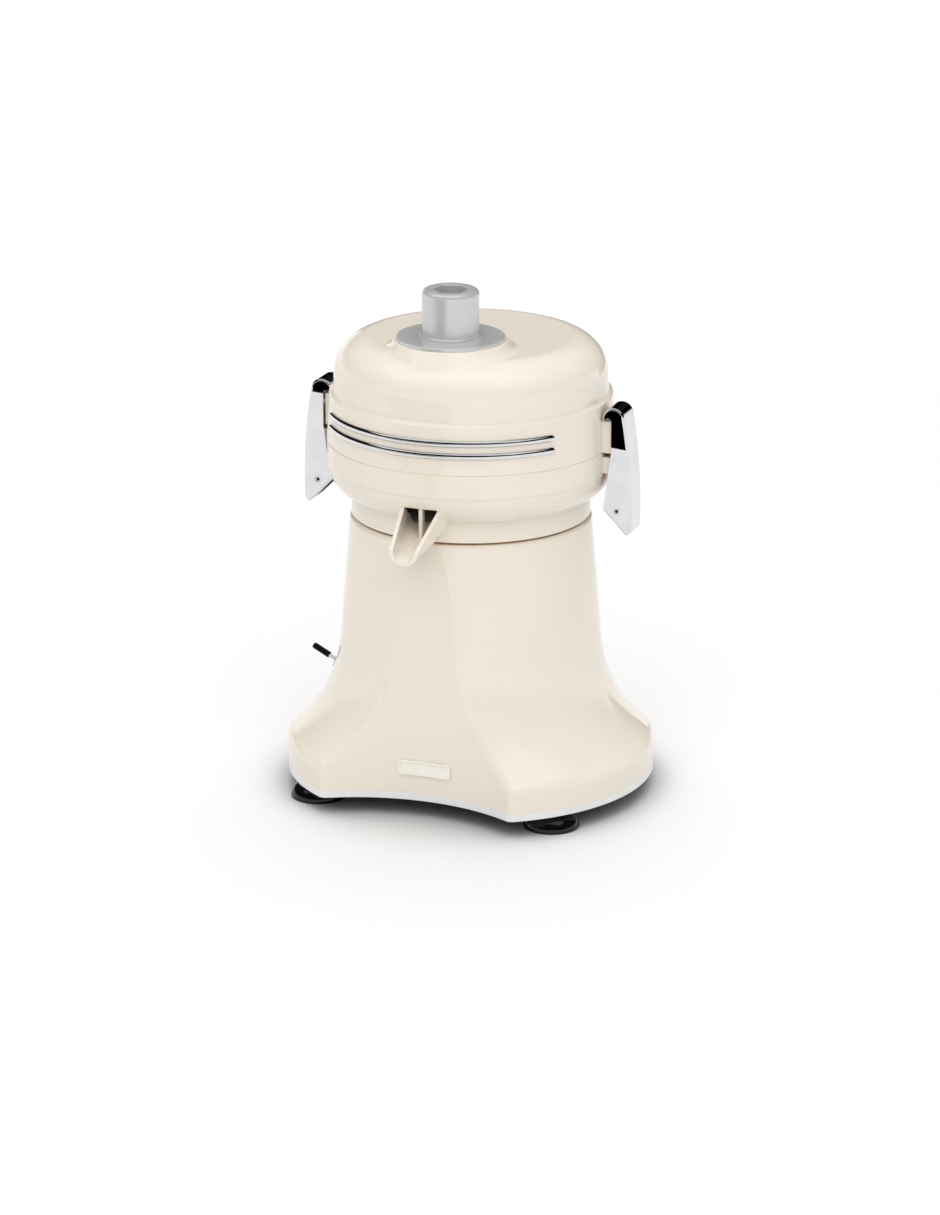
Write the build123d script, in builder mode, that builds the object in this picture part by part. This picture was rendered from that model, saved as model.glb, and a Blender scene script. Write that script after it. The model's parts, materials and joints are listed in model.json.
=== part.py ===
from build123d import *
import os
from math import asin, atan2, cos, hypot, radians, sin, sqrt, tan

os.makedirs("parts", exist_ok=True)

# Juice extractor. Millimetres, +Z up, the spout and the front of the base face -Y.
# The origin lies on the table, under the axis of the drive shaft.

# Fits and clearances
running_clearance = 0.05
fit_clearance = 0.02
screw_clearance = 0.05
body_gap = 0.3
adhesive_layer = 0.3

# Feet and bottom plate
foot_height = 14.4
foot_radius = 22.8
foot_sole_radius = 22.2
foot_swell_level = 1.2
foot_neck_radius = 12.5
foot_dome_level = 12.2
foot_inset = 18.8
foot_angle = 50.2
plate_thickness = 5.6
vent_circle = 45
vent_count = 10
vent_length = 36
vent_width = 7

# Base housing: a bell of revolution with a concave bite in front
rim_radius = 150
rim_height = 21
rim_edge_width = 4
rim_edge_rise = 3
knee_height = 104
knee_spread = 8.5
column_radius = 98
column_edge_radius = 3
housing_height = 209.5
housing_wall = 4
bite_spread = 6.5
bite_radius = 156.5
bite_draft = 1.95
soft_edge_radius = 7
boss_radius = 17
boss_height = 18

# Screws
foot_screw_radius = 3
foot_screw_head_radius = 6
foot_screw_head_height = 4
foot_screw_seat = 7
foot_screw_grip = 12
small_screw_radius = 2.5
small_screw_head_radius = 4.5
small_screw_head_height = 3
head_room = 1
socket_share = 0.5
screw_count = 4
screw_turn = 45

# Motor
bracket_flange_radius = 66
bracket_flange_thickness = 6
bracket_spigot_radius = 24
bracket_hub_wall = 5.5
bracket_skirt_wall = 7
bracket_screw_inset = 16
bracket_vent_circle = 40
bracket_vent_radius = 6
bracket_vents = 8
bracket_window_width = 50
bracket_window_margin = 6
stator_radius = 65
stator_height = 70
stator_drop = 36
winding_outer_radius = 56
winding_inner_radius = 40
winding_height = 17
rotor_radius = 34
air_gap = 0.5
rotor_ring_height = 4
rotor_ring_width = 8
bearing_radius = 17.5
bearing_height = 11
bearing_lip = 2
lower_bracket_depth = 28
lower_bracket_floor = 7
tie_bolt_radius = 2
tie_bolt_head_radius = 4
tie_bolt_grip = 14

# Drive shaft and fan
shaft_radius = 7.5
shaft_core_radius = 9
shaft_thread_radius = 6
fan_radius = 54
fan_hub_radius = 13
fan_height = 15
fan_plate = 2.5
fan_blades = 9
fan_blade_thickness = 2
fan_gap = 2

# Start capacitor
capacitor_radius = 17
capacitor_length = 64
capacitor_offset = 96
capacitor_post_radius = 3
capacitor_post_length = 8
capacitor_post_spacing = 14
clamp_thickness = 1.5
clamp_width = 24
clamp_foot = 15

# Toggle switch on the left wall
switch_rise = 66.5
switch_seat_radius = 10
switch_seat_depth = 0.9
switch_pad_radius = 13
switch_pad_depth = 3
switch_bushing_radius = 5.9
switch_bushing_reach = 4
switch_ball_radius = 3.4
switch_ball_clearance = 0.2
switch_mouth_radius = 4.6
switch_pivot_depth = 1
switch_body_width = 17
switch_body_height = 27
switch_body_depth = 22
switch_nut_flats = 15
switch_nut_height = 3
switch_throw = 9
switch_stem_radius = 1.6
sleeve_start = 12
sleeve_length = 16.6
sleeve_radius = 2.6
sleeve_end_radius = 0.8
terminal_width = 5
terminal_thickness = 1
terminal_length = 7
terminal_pitch = 9
terminal_count = 3

# Cord gland in the back of the rim
gland_rise = 9.5
gland_seat_radius = 9
gland_seat_depth = 1.6
gland_radius = 6.5
gland_lip_radius = 8.4
gland_lip = 1.5
gland_bore = 3.6
gland_nut_radius = 9
gland_nut_height = 5

# Bowl
gasket_thickness = 2
gasket_inset = 2.6
gasket_width = 6
skirt_inset = 1
skirt_height = 17
underside_height = 24.5
band_radius = 116.2
band_height = 19
band_step = 0.6
bowl_wall = 4
bowl_floor_height = 12.5
bowl_floor_thickness = 5
bowl_rim_width = 7.2
bowl_rim_depth = 8
tower_radius = 16
tower_height = 16
tower_bore = 9.5
seal_radius = 12
seal_height = 8
bowl_screw_inset = 1.4
bowl_boss_radius = 7
bowl_screw_grip = 8
lid_gasket_width = 3
lid_gasket_depth = 3
seam_chamfer = 0.6

# Spout
spout_length = 40
spout_root_inset = 6.2
spout_root_width = 34.8
spout_tip_width = 24.4
spout_wall = 3.2
spout_root_rise = 31
spout_tip_rise = 6
spout_tip_depth = 11.5
spout_inner_length = 5
spout_rib = 3
spout_rib_depth = 5
spout_rib_sink = 1.5
spout_flat = 2
spout_blend_radius = 2.5
cut_margin = 2

# Strainer, grater and their hub
hub_radius = 22
hub_height = 8
slinger_radius = 25
slinger_thickness = 2.4
slinger_gap = 2.5
basket_rim_gap = 9
basket_spread = 8
basket_height = 55
basket_sheet = 1.5
basket_lip = 4
slot_length = 15
slot_width = 2.4
slot_count = 36
slot_rows = 2
grater_margin = 3
grater_thickness = 2.5
tooth_radius = 1.2
tooth_tip_radius = 0.4
tooth_height = 1.8
tooth_rings = 4
tooth_count = 16
tooth_ring_pitch = 14
tooth_first_ring = 26
washer_radius = 16
washer_thickness = 2
nut_flats = 22
nut_height = 13
nut_cap = 3
nut_edge = 1.5

# Lid
lid_band_height = 39
lid_band_taper = 1.7
lid_band_edge = 2.2
lid_band_edge_radius = 1.5
lid_band_wall = 5.7
dome_step = 3.2
dome_wall_taper = 0.8
dome_wall_height = 14
dome_shoulder_radius = 29.5
lid_wall = 4
boss_edge_gap = 9.9
boss_top_radius = 45
boss_foot_radius = 55
boss_rise = 8
boss_depth = 16
boss_blend_radius = 10
boss_edge_radius = 1.5

# Feed tube
tube_radius = 22.8
tube_rise = 38
tube_rim_radius = 4
tube_hex_radius = 14.6
tube_hex_turn = 20
tube_hex_edge = 1.2
tube_flange_radius = 43.2
tube_flange_thickness = 3
tube_flange_edge = 1
tube_bead_radius = 2.2
tube_grater_gap = 5
lock_ring_radius = 30
lock_ring_height = 8

# Latches on both sides
latch_width = 25
latch_pocket_width = 19.6
latch_web = 3.5
latch_pivot_out = 12.8
latch_pivot_drop = 46
latch_web_out = 11.7
latch_web_drop = 16.5
latch_tip_out = 8.6
latch_tip_drop = 21
latch_tip_floor = 5
latch_tip_radius = 2.5
latch_heel_out = 11.6
latch_hook_reach = 7.4
latch_hook_root = 4
latch_nose = 1.8
latch_notch_rise = 3.6
latch_crown_in = 1.4
latch_crown_lift = 2.6
latch_crown_turn = 10
latch_bend_rise = 1.5
latch_edge_radius = 2
latch_pin_inset = 0.3
latch_pin_radius = 2.5
latch_pin_bore = 1.4
latch_arm_width = 18
latch_arm_radius = 6
lug_width = 19
lug_out = 7.4
lug_bottom = 0.6
lug_height = 26.1
lug_edge_radius = 1.5
bowl_lug_top = 3.2
bowl_lug_height = 13.3
lug_sink = 3

# Trim
strip_height = 5
strip_gap = 5
strip_centre = 21
strip_rise = 2
strip_edge_rise = 0.6
strip_half_angle = 55
strip_end_radius = 2.2
badge_width = 45
badge_height = 12
badge_rise = 1.6
badge_corner = 3
badge_frame = 1.6
badge_recess = 0.7
badge_lift = 22

# Levels worked out from the stack of pieces
plate_bottom = foot_height
housing_bottom = plate_bottom + plate_thickness
housing_top = housing_bottom + housing_height
deck_bottom = housing_top - housing_wall
bowl_bottom = housing_top + gasket_thickness
skirt_top = bowl_bottom + skirt_height
band_bottom = skirt_top + underside_height
seam_level = band_bottom + band_height
bowl_floor = bowl_bottom + bowl_floor_height
tower_top = bowl_floor + tower_height
lid_band_top = seam_level + lid_band_height
dome_bottom = lid_band_top + lid_band_edge
dome_spring = dome_bottom + dome_wall_height
dome_top = dome_spring + dome_shoulder_radius
dome_inside = dome_top - lid_wall
boss_top = dome_top + boss_rise
flange_top = boss_top + tube_flange_thickness
tube_top = flange_top + tube_rise
slinger_bottom = tower_top + slinger_gap
hub_bottom = slinger_bottom + slinger_thickness
basket_bottom = hub_bottom + hub_height
grater_bottom = basket_bottom + basket_sheet
grater_top = grater_bottom + grater_thickness
washer_top = grater_top + washer_thickness
tube_bottom = grater_top + tooth_height + tube_grater_gap
stator_top = deck_bottom - bracket_flange_thickness - stator_drop
stator_bottom = stator_top - stator_height
upper_bearing_top = deck_bottom - bearing_lip
upper_bearing_bottom = upper_bearing_top - bearing_height
lower_bracket_bottom = stator_bottom - lower_bracket_depth
lower_bearing_bottom = lower_bracket_bottom + bearing_lip
lower_bearing_top = lower_bearing_bottom + bearing_height
fan_top = lower_bracket_bottom - fan_gap
fan_bottom = fan_top - fan_height

# Sizes that follow the pieces they fit
knee_radius = column_radius + knee_spread
bite_floor = column_radius + bite_spread
skirt_radius = column_radius - skirt_inset
lid_band_top_radius = band_radius - lid_band_taper
dome_radius = lid_band_top_radius - dome_step
dome_spring_radius = dome_radius - dome_wall_taper
boss_offset = dome_spring_radius - boss_foot_radius - boss_edge_gap
bracket_screw_circle = bracket_flange_radius - bracket_screw_inset
basket_rim_radius = band_radius - bowl_rim_width - basket_rim_gap - basket_lip
basket_floor_radius = basket_rim_radius - basket_spread
spout_root = band_radius - spout_root_inset
spout_reach = spout_root + spout_length
spout_inner_end = skirt_radius - bowl_wall - spout_inner_length

# The flare of the bell is an arc that leaves the tapered column without a kink
knee_level = housing_bottom + knee_height
flare_foot_radius = rim_radius - rim_edge_width
flare_foot_level = housing_bottom + rim_height + rim_edge_rise
column_taper = atan2(knee_radius - column_radius, housing_top - knee_level)
flare_width = flare_foot_radius - knee_radius
flare_drop = knee_level - flare_foot_level
flare_half_turn = atan2(flare_width, flare_drop) - column_taper
flare_radius = hypot(flare_width, flare_drop) / (2 * sin(flare_half_turn))
flare_end_tilt = column_taper + 2 * flare_half_turn
flare_centre_out = knee_radius + flare_radius * cos(column_taper)
flare_centre_level = knee_level + flare_radius * sin(column_taper)

# The underside of the bowl is an arc that starts upright under the band
underside_start = band_radius - band_step
underside_out = underside_start - skirt_radius
underside_radius = (underside_out**2 + underside_height**2) / (2 * underside_out)
underside_centre = underside_start - underside_radius

# Places that several pieces share
on_base = (Align.CENTER, Align.CENTER, Align.MIN)
hanging = (Align.CENTER, Align.CENTER, Align.MAX)
foot_circle = rim_radius - foot_inset
foot_out = foot_circle * sin(radians(foot_angle))
foot_forward = foot_circle * cos(radians(foot_angle))
foot_places = [(x * foot_out, y * foot_forward) for x in (-1, 1) for y in (-1, 1)]
clamp_screw_out = capacitor_radius + clamp_thickness + clamp_foot / 2
clamp_screw_places = [(0, capacitor_offset + side * clamp_screw_out) for side in (-1, 1)]
tie_bolt_circle = stator_radius - bracket_skirt_wall / 2
hub_wall_radius = bearing_radius + bracket_hub_wall
bracket_skirt_inner = stator_radius - bracket_skirt_wall
gasket_radius = skirt_radius - gasket_inset
bowl_foot_inner = gasket_radius - gasket_width
bowl_screw_circle = bowl_foot_inner - bowl_boss_radius - bowl_screw_inset
groove_middle = band_radius - (bowl_rim_width + seam_chamfer) / 2
tube_place = (0, -boss_offset)
switch_height = housing_bottom + switch_rise
gland_height = housing_bottom + gland_rise
badge_level = housing_bottom + badge_lift

# The switch stands square on the flare, and its lever rests thrown to the back
switch_tilt = asin((flare_centre_level - switch_height) / flare_radius)
switch_out = flare_centre_out - flare_radius * cos(switch_tilt)
switch_plane = Plane(
    origin=(-switch_out, 0, switch_height),
    x_dir=(0, -1, 0),
    z_dir=(-cos(switch_tilt), 0, sin(switch_tilt)),
)
switch_face = -housing_wall - switch_pad_depth
lever_lean = radians(switch_throw)
lever_plane = Plane(
    origin=switch_plane.offset(-switch_pivot_depth).origin,
    x_dir=switch_plane.y_dir,
    z_dir=switch_plane.z_dir * cos(lever_lean) - switch_plane.x_dir * sin(lever_lean),
)
gland_plane = Plane(
    origin=(0, rim_radius - gland_seat_depth, gland_height),
    x_dir=(1, 0, 0),
    z_dir=(0, 1, 0),
)

# Latch outline, in the plane of the latch, from the lug that it hooks and the pin that it turns on
latch_pivot = (band_radius + latch_pivot_out, seam_level - latch_pivot_drop)
lug_face = band_radius + lug_out
lug_top = seam_level + lug_bottom + lug_height
hook_level = lug_top + body_gap
latch_inner = lug_face + body_gap
hook_nose = (lug_face - latch_hook_reach, hook_level)
nose_end = (hook_nose[0] + latch_nose, hook_level)
notch_end = (latch_inner, hook_level)
notch_top = ((nose_end[0] + latch_inner) / 2, hook_level + latch_notch_rise)
latch_outer_low = (latch_pivot[0] + latch_web_out, latch_pivot[1] - latch_web_drop)
latch_tip = (latch_pivot[0] + latch_tip_out, latch_pivot[1] - latch_tip_drop)
latch_heel = (latch_pivot[0] - latch_heel_out, latch_pivot[1])
latch_bend = (latch_inner, seam_level + latch_bend_rise)

# The crown is an arc through the hook's nose, and the outer face leaves it without a kink
crown_turn = radians(latch_crown_turn)
crown_centre = (latch_inner + latch_crown_in, hook_level + latch_crown_lift)
crown_radius = hypot(crown_centre[0] - hook_nose[0], latch_crown_lift)
crown_top = (crown_centre[0], crown_centre[1] + crown_radius)
latch_shoulder = (
    crown_centre[0] + crown_radius * cos(crown_turn),
    crown_centre[1] + crown_radius * sin(crown_turn),
)
face_out = latch_outer_low[0] - latch_shoulder[0]
face_drop = latch_shoulder[1] - latch_outer_low[1]
face_half_turn = crown_turn - atan2(face_out, face_drop)
face_radius = hypot(face_out, face_drop) / (2 * sin(face_half_turn))
face_centre = (
    latch_shoulder[0] - face_radius * cos(crown_turn),
    latch_shoulder[1] - face_radius * sin(crown_turn),
)


def bell_outline(inset, top):
    """Half outline of the bell, drawn in by an inset: rim, foot of the flare, knee and column top"""
    edge_slope = rim_edge_rise / rim_edge_width
    foot_inward = inset * cos(flare_end_tilt)
    foot_point = (flare_foot_radius - foot_inward, flare_foot_level - inset * sin(flare_end_tilt))
    rim_point = (rim_radius - inset, foot_point[1] - (rim_radius - inset - foot_point[0]) * edge_slope)
    knee_point = (knee_radius - inset * cos(column_taper), knee_level - inset * sin(column_taper))
    top_point = (knee_point[0] - (top - knee_point[1]) * tan(column_taper), top)
    return rim_point, foot_point, knee_point, top_point


def bell_solid(inset, top):
    """The bell as a full solid of revolution, drawn in by an inset"""
    rim_point, foot_point, knee_point, top_point = bell_outline(inset, top)
    with BuildPart() as bell:
        with BuildSketch(Plane.XZ):
            with BuildLine():
                Polyline((0, housing_bottom), (rim_point[0], housing_bottom), rim_point, foot_point)
                TangentArc(knee_point, foot_point, tangent=(sin(column_taper), -cos(column_taper)))
                Polyline(knee_point, top_point, (0, top), (0, housing_bottom))
            make_face()
        revolve(axis=Axis.Z)
    return bell.part


def bite_solid(growth):
    """The drafted cone that hollows the front of the base, grown by a wall"""
    rise = housing_top - plate_bottom
    with BuildPart() as cone:
        with Locations((0, -bite_floor - bite_radius, plate_bottom)):
            top_radius = bite_radius + rise * tan(radians(bite_draft))
            Cone(bite_radius + growth, top_radius + growth, rise, align=on_base)
    return cone.part


def ring_solid(outer, inner, bottom, top):
    """A plain ring about the shaft's axis"""
    with BuildPart() as ring:
        with BuildSketch(Plane.XY.offset(bottom)):
            Circle(outer)
            Circle(inner, mode=Mode.SUBTRACT)
        extrude(amount=top - bottom)
    return ring.part


def screw_solid(shank_radius, length, head_radius, head_height):
    """Socket screw that points up, with the seat of its head at level zero"""
    with BuildPart() as screw:
        Cylinder(shank_radius, length, align=on_base)
        Cylinder(head_radius, head_height, align=hanging)
        with BuildSketch(Plane.XY.offset(-head_height)):
            RegularPolygon(head_radius * socket_share, 6)
        extrude(amount=head_height * socket_share, mode=Mode.SUBTRACT)
    return screw.part


# Solids that several pieces share
base_bell = bell_solid(0, housing_top)
front_bite = bite_solid(0)
inner_bell = bell_solid(housing_wall, deck_bottom)
inner_bite = bite_solid(housing_wall)

# Base housing
with BuildPart() as housing_cavity:
    add(inner_bell)
    add(inner_bite, mode=Mode.SUBTRACT)

with BuildPart() as foot_bosses:
    with Locations(*[(x, y, housing_bottom) for x, y in foot_places]):
        Cylinder(boss_radius, boss_height, align=on_base)
    add(base_bell, mode=Mode.INTERSECT)

with BuildPart() as base_housing:
    add(base_bell)
    add(front_bite, mode=Mode.SUBTRACT)
    soft_edges = base_housing.edges(Select.LAST).filter_by_position(
        Axis.Z, housing_bottom, housing_top, inclusive=(False, False)
    )
    fillet(soft_edges, radius=soft_edge_radius)
    fillet(base_housing.faces().sort_by(Axis.Z)[-1].outer_wire().edges(), radius=column_edge_radius)
    add(housing_cavity.part, mode=Mode.SUBTRACT)
    # Bosses for the foot screws, and a pad behind the switch
    add(foot_bosses.part)
    with BuildSketch(switch_plane.offset(switch_face)):
        Circle(switch_pad_radius)
    extrude(amount=-switch_face - switch_seat_depth)
    # Flat seats and holes for the switch and the cord gland
    with BuildSketch(switch_plane.offset(-switch_seat_depth)):
        Circle(switch_seat_radius)
    extrude(amount=switch_bushing_reach, mode=Mode.SUBTRACT)
    with BuildSketch(switch_plane.offset(switch_face)):
        Circle(switch_bushing_radius + fit_clearance)
    extrude(amount=-switch_face, mode=Mode.SUBTRACT)
    with BuildSketch(gland_plane):
        Circle(gland_seat_radius)
    extrude(amount=gland_seat_depth, mode=Mode.SUBTRACT)
    with BuildSketch(gland_plane):
        Circle(gland_radius + fit_clearance)
    extrude(amount=-housing_wall, mode=Mode.SUBTRACT)
    # Screw holes
    with Locations(*[(x, y, housing_bottom) for x, y in foot_places]):
        Cylinder(
            foot_screw_radius + screw_clearance,
            foot_screw_grip + head_room,
            align=on_base,
            mode=Mode.SUBTRACT,
        )
    with BuildSketch(Plane.XY.offset(deck_bottom)):
        Circle(bracket_spigot_radius + fit_clearance)
        with PolarLocations(bracket_screw_circle, screw_count):
            Circle(small_screw_radius + screw_clearance)
        with PolarLocations(bowl_screw_circle, screw_count, start_angle=screw_turn):
            Circle(small_screw_radius + screw_clearance)
    extrude(amount=housing_wall, mode=Mode.SUBTRACT)

base_housing.part.label = "base_housing"
export_step(base_housing.part, "parts/base_housing.step")

# Bottom plate with cooling slots
with BuildPart() as bottom_plate:
    with Locations((0, 0, plate_bottom)):
        Cylinder(rim_radius, plate_thickness, align=on_base)
    add(front_bite, mode=Mode.SUBTRACT)
    corner_edges = bottom_plate.edges(Select.LAST).filter_by_position(
        Axis.Z, plate_bottom, housing_bottom, inclusive=(False, False)
    )
    fillet(corner_edges, radius=soft_edge_radius)
    with BuildSketch(Plane.XY.offset(plate_bottom)):
        with Locations(*foot_places):
            Circle(foot_screw_radius + screw_clearance)
        with PolarLocations(vent_circle, vent_count):
            SlotOverall(vent_length, vent_width)
        with Locations(*clamp_screw_places):
            Circle(small_screw_radius + screw_clearance)
    extrude(amount=plate_thickness, mode=Mode.SUBTRACT)

bottom_plate.part.label = "bottom_plate"
export_step(bottom_plate.part, "parts/bottom_plate.step")

# Rubber feet, and the screws that hold feet, plate and housing together
with BuildPart() as foot:
    with BuildSketch(Plane.XZ):
        with BuildLine():
            TangentArc((foot_radius, foot_swell_level), (foot_sole_radius, 0), tangent=(0, -1))
            TangentArc((foot_radius, foot_swell_level), (foot_neck_radius, foot_dome_level), tangent=(0, 1))
            Line((foot_neck_radius, foot_dome_level), (foot_neck_radius, foot_height))
            Polyline((foot_neck_radius, foot_height), (0, foot_height), (0, 0), (foot_sole_radius, 0))
        make_face()
    revolve(axis=Axis.Z)
    Cylinder(foot_screw_radius + screw_clearance, foot_height, align=on_base, mode=Mode.SUBTRACT)
    Cylinder(foot_screw_head_radius + head_room, foot_screw_seat, align=on_base, mode=Mode.SUBTRACT)

with BuildPart() as feet:
    with Locations(*[(x, y, 0) for x, y in foot_places]):
        add(foot.part)

feet.part.label = "feet"
export_step(feet.part, "parts/feet.step")

foot_screw_length = foot_height - foot_screw_seat + plate_thickness + foot_screw_grip
foot_screw = screw_solid(foot_screw_radius, foot_screw_length, foot_screw_head_radius, foot_screw_head_height)
with BuildPart() as foot_screws:
    with Locations(*[(x, y, foot_screw_seat) for x, y in foot_places]):
        add(foot_screw)

foot_screws.part.label = "foot_screws"
export_step(foot_screws.part, "parts/foot_screws.step")

# Upper motor bracket, which hangs from the deck and carries the upper bearing
window_height = stator_drop - 2 * bracket_window_margin
upper_skirt = ring_solid(stator_radius, bracket_skirt_inner, stator_top, stator_top + stator_drop)
with BuildPart() as upper_motor_bracket:
    add(upper_skirt)
    with Locations((0, 0, stator_top + bracket_window_margin)):
        Box(2 * stator_radius, bracket_window_width, window_height, align=on_base, mode=Mode.SUBTRACT)
        Box(bracket_window_width, 2 * stator_radius, window_height, align=on_base, mode=Mode.SUBTRACT)
    with Locations((0, 0, deck_bottom)):
        Cylinder(bracket_spigot_radius, housing_wall, align=on_base)
        Cylinder(bracket_flange_radius, bracket_flange_thickness, align=hanging)
        Cylinder(hub_wall_radius, deck_bottom - upper_bearing_bottom, align=hanging)
        with PolarLocations(bracket_screw_circle, screw_count):
            Cylinder(
                small_screw_radius + screw_clearance,
                bracket_flange_thickness,
                align=hanging,
                mode=Mode.SUBTRACT,
            )
    with Locations((0, 0, upper_bearing_bottom)):
        Cylinder(bearing_radius + fit_clearance, bearing_height, align=on_base, mode=Mode.SUBTRACT)
        Cylinder(shaft_core_radius, housing_top - upper_bearing_bottom, align=on_base, mode=Mode.SUBTRACT)
    with Locations((0, 0, stator_top)):
        with PolarLocations(tie_bolt_circle, screw_count, start_angle=screw_turn):
            Cylinder(
                tie_bolt_radius + screw_clearance,
                tie_bolt_grip + head_room,
                align=on_base,
                mode=Mode.SUBTRACT,
            )

upper_motor_bracket.part.label = "upper_motor_bracket"
export_step(upper_motor_bracket.part, "parts/upper_motor_bracket.step")

# Screws from the deck down into the bracket's flange
bracket_screw = screw_solid(
    small_screw_radius,
    housing_wall + bracket_flange_thickness,
    small_screw_head_radius,
    small_screw_head_height,
)
with BuildPart() as motor_bracket_screws:
    with Locations(Location((0, 0, housing_top), (180, 0, 0))):
        with PolarLocations(bracket_screw_circle, screw_count):
            add(bracket_screw)

motor_bracket_screws.part.label = "motor_bracket_screws"
export_step(motor_bracket_screws.part, "parts/motor_bracket_screws.step")

# Lower motor bracket with the lower bearing's pocket and holes for the cooling air
lower_skirt = ring_solid(stator_radius, bracket_skirt_inner, lower_bracket_bottom, stator_bottom)
with BuildPart() as lower_motor_bracket:
    add(lower_skirt)
    with Locations((0, 0, lower_bracket_bottom)):
        Cylinder(stator_radius, lower_bracket_floor, align=on_base)
        Cylinder(hub_wall_radius, bearing_lip + bearing_height, align=on_base)
        Cylinder(shaft_core_radius, lower_bracket_depth, align=on_base, mode=Mode.SUBTRACT)
        with PolarLocations(tie_bolt_circle, screw_count, start_angle=screw_turn):
            Cylinder(
                tie_bolt_radius + screw_clearance,
                lower_bracket_depth,
                align=on_base,
                mode=Mode.SUBTRACT,
            )
        with PolarLocations(bracket_vent_circle, bracket_vents):
            Cylinder(bracket_vent_radius, lower_bracket_floor, align=on_base, mode=Mode.SUBTRACT)
    with Locations((0, 0, lower_bearing_bottom)):
        Cylinder(bearing_radius + fit_clearance, bearing_height, align=on_base, mode=Mode.SUBTRACT)

lower_motor_bracket.part.label = "lower_motor_bracket"
export_step(lower_motor_bracket.part, "parts/lower_motor_bracket.step")

tie_bolt_length = lower_bracket_depth + stator_height + tie_bolt_grip
tie_bolt = screw_solid(tie_bolt_radius, tie_bolt_length, tie_bolt_head_radius, small_screw_head_height)
with BuildPart() as motor_tie_bolts:
    with Locations((0, 0, lower_bracket_bottom)):
        with PolarLocations(tie_bolt_circle, screw_count, start_angle=screw_turn):
            add(tie_bolt)

motor_tie_bolts.part.label = "motor_tie_bolts"
export_step(motor_tie_bolts.part, "parts/motor_tie_bolts.step")

# Stator, its end windings, and the rotor
stator_ring = ring_solid(stator_radius, rotor_radius + air_gap, stator_bottom, stator_top)
with BuildPart() as stator_core:
    add(stator_ring)
    with Locations((0, 0, stator_bottom)):
        with PolarLocations(tie_bolt_circle, screw_count, start_angle=screw_turn):
            Cylinder(tie_bolt_radius + screw_clearance, stator_height, align=on_base, mode=Mode.SUBTRACT)

stator_core.part.label = "stator_core"
export_step(stator_core.part, "parts/stator_core.step")

with BuildPart() as stator_windings:
    with BuildSketch(Plane.XY.offset(stator_top), Plane.XY.offset(stator_bottom - winding_height)):
        Circle(winding_outer_radius)
        Circle(winding_inner_radius, mode=Mode.SUBTRACT)
    extrude(amount=winding_height)

stator_windings.part.label = "stator_windings"
export_step(stator_windings.part, "parts/stator_windings.step")

with BuildPart() as rotor_core:
    with BuildSketch(Plane.XY.offset(stator_bottom)):
        Circle(rotor_radius)
        Circle(shaft_core_radius + fit_clearance, mode=Mode.SUBTRACT)
    extrude(amount=stator_height)
    with BuildSketch(Plane.XY.offset(stator_top), Plane.XY.offset(stator_bottom - rotor_ring_height)):
        Circle(rotor_radius)
        Circle(rotor_radius - rotor_ring_width, mode=Mode.SUBTRACT)
    extrude(amount=rotor_ring_height)

rotor_core.part.label = "rotor_core"
export_step(rotor_core.part, "parts/rotor_core.step")

# Drive shaft: bearing seats, a thicker core under the rotor, and a threaded top for the nut
shaft_top = washer_top + nut_height - nut_cap - head_room
with BuildPart() as drive_shaft:
    with Locations((0, 0, fan_bottom)):
        Cylinder(shaft_radius, hub_bottom - fan_bottom, align=on_base)
    with Locations((0, 0, lower_bearing_top + running_clearance)):
        core_length = upper_bearing_bottom - lower_bearing_top - 2 * running_clearance
        Cylinder(shaft_core_radius, core_length, align=on_base)
    with Locations((0, 0, hub_bottom)):
        Cylinder(shaft_thread_radius, shaft_top - hub_bottom, align=on_base)

drive_shaft.part.label = "drive_shaft"
export_step(drive_shaft.part, "parts/drive_shaft.step")

with BuildPart() as upper_bearing:
    with BuildSketch(Plane.XY.offset(upper_bearing_bottom)):
        Circle(bearing_radius)
        Circle(shaft_radius + running_clearance, mode=Mode.SUBTRACT)
    extrude(amount=bearing_height)

upper_bearing.part.label = "upper_bearing"
export_step(upper_bearing.part, "parts/upper_bearing.step")

with BuildPart() as lower_bearing:
    with BuildSketch(Plane.XY.offset(lower_bearing_bottom)):
        Circle(bearing_radius)
        Circle(shaft_radius + running_clearance, mode=Mode.SUBTRACT)
    extrude(amount=bearing_height)

lower_bearing.part.label = "lower_bearing"
export_step(lower_bearing.part, "parts/lower_bearing.step")

# Cooling fan with straight blades under the motor
with BuildPart() as cooling_fan:
    with Locations((0, 0, fan_bottom)):
        Cylinder(fan_radius, fan_plate, align=on_base)
        Cylinder(fan_hub_radius, fan_height, align=on_base)
        with PolarLocations(0, fan_blades):
            Box(fan_radius, fan_blade_thickness, fan_height, align=(Align.MIN, Align.CENTER, Align.MIN))
        Cylinder(shaft_radius + fit_clearance, fan_height, align=on_base, mode=Mode.SUBTRACT)

cooling_fan.part.label = "cooling_fan"
export_step(cooling_fan.part, "parts/cooling_fan.step")

# Start capacitor, lying on the bottom plate under a strap
capacitor_level = housing_bottom + capacitor_radius
with BuildPart() as start_capacitor:
    with BuildSketch(Plane.YZ):
        with Locations((capacitor_offset, capacitor_level)):
            Circle(capacitor_radius)
    extrude(amount=capacitor_length / 2, both=True)
    with BuildSketch(Plane.YZ.offset(capacitor_length / 2)):
        with Locations((capacitor_offset, capacitor_level)):
            with GridLocations(capacitor_post_spacing, 0, 2, 1):
                Circle(capacitor_post_radius)
    extrude(amount=capacitor_post_length)

start_capacitor.part.label = "start_capacitor"
export_step(start_capacitor.part, "parts/start_capacitor.step")

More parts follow.
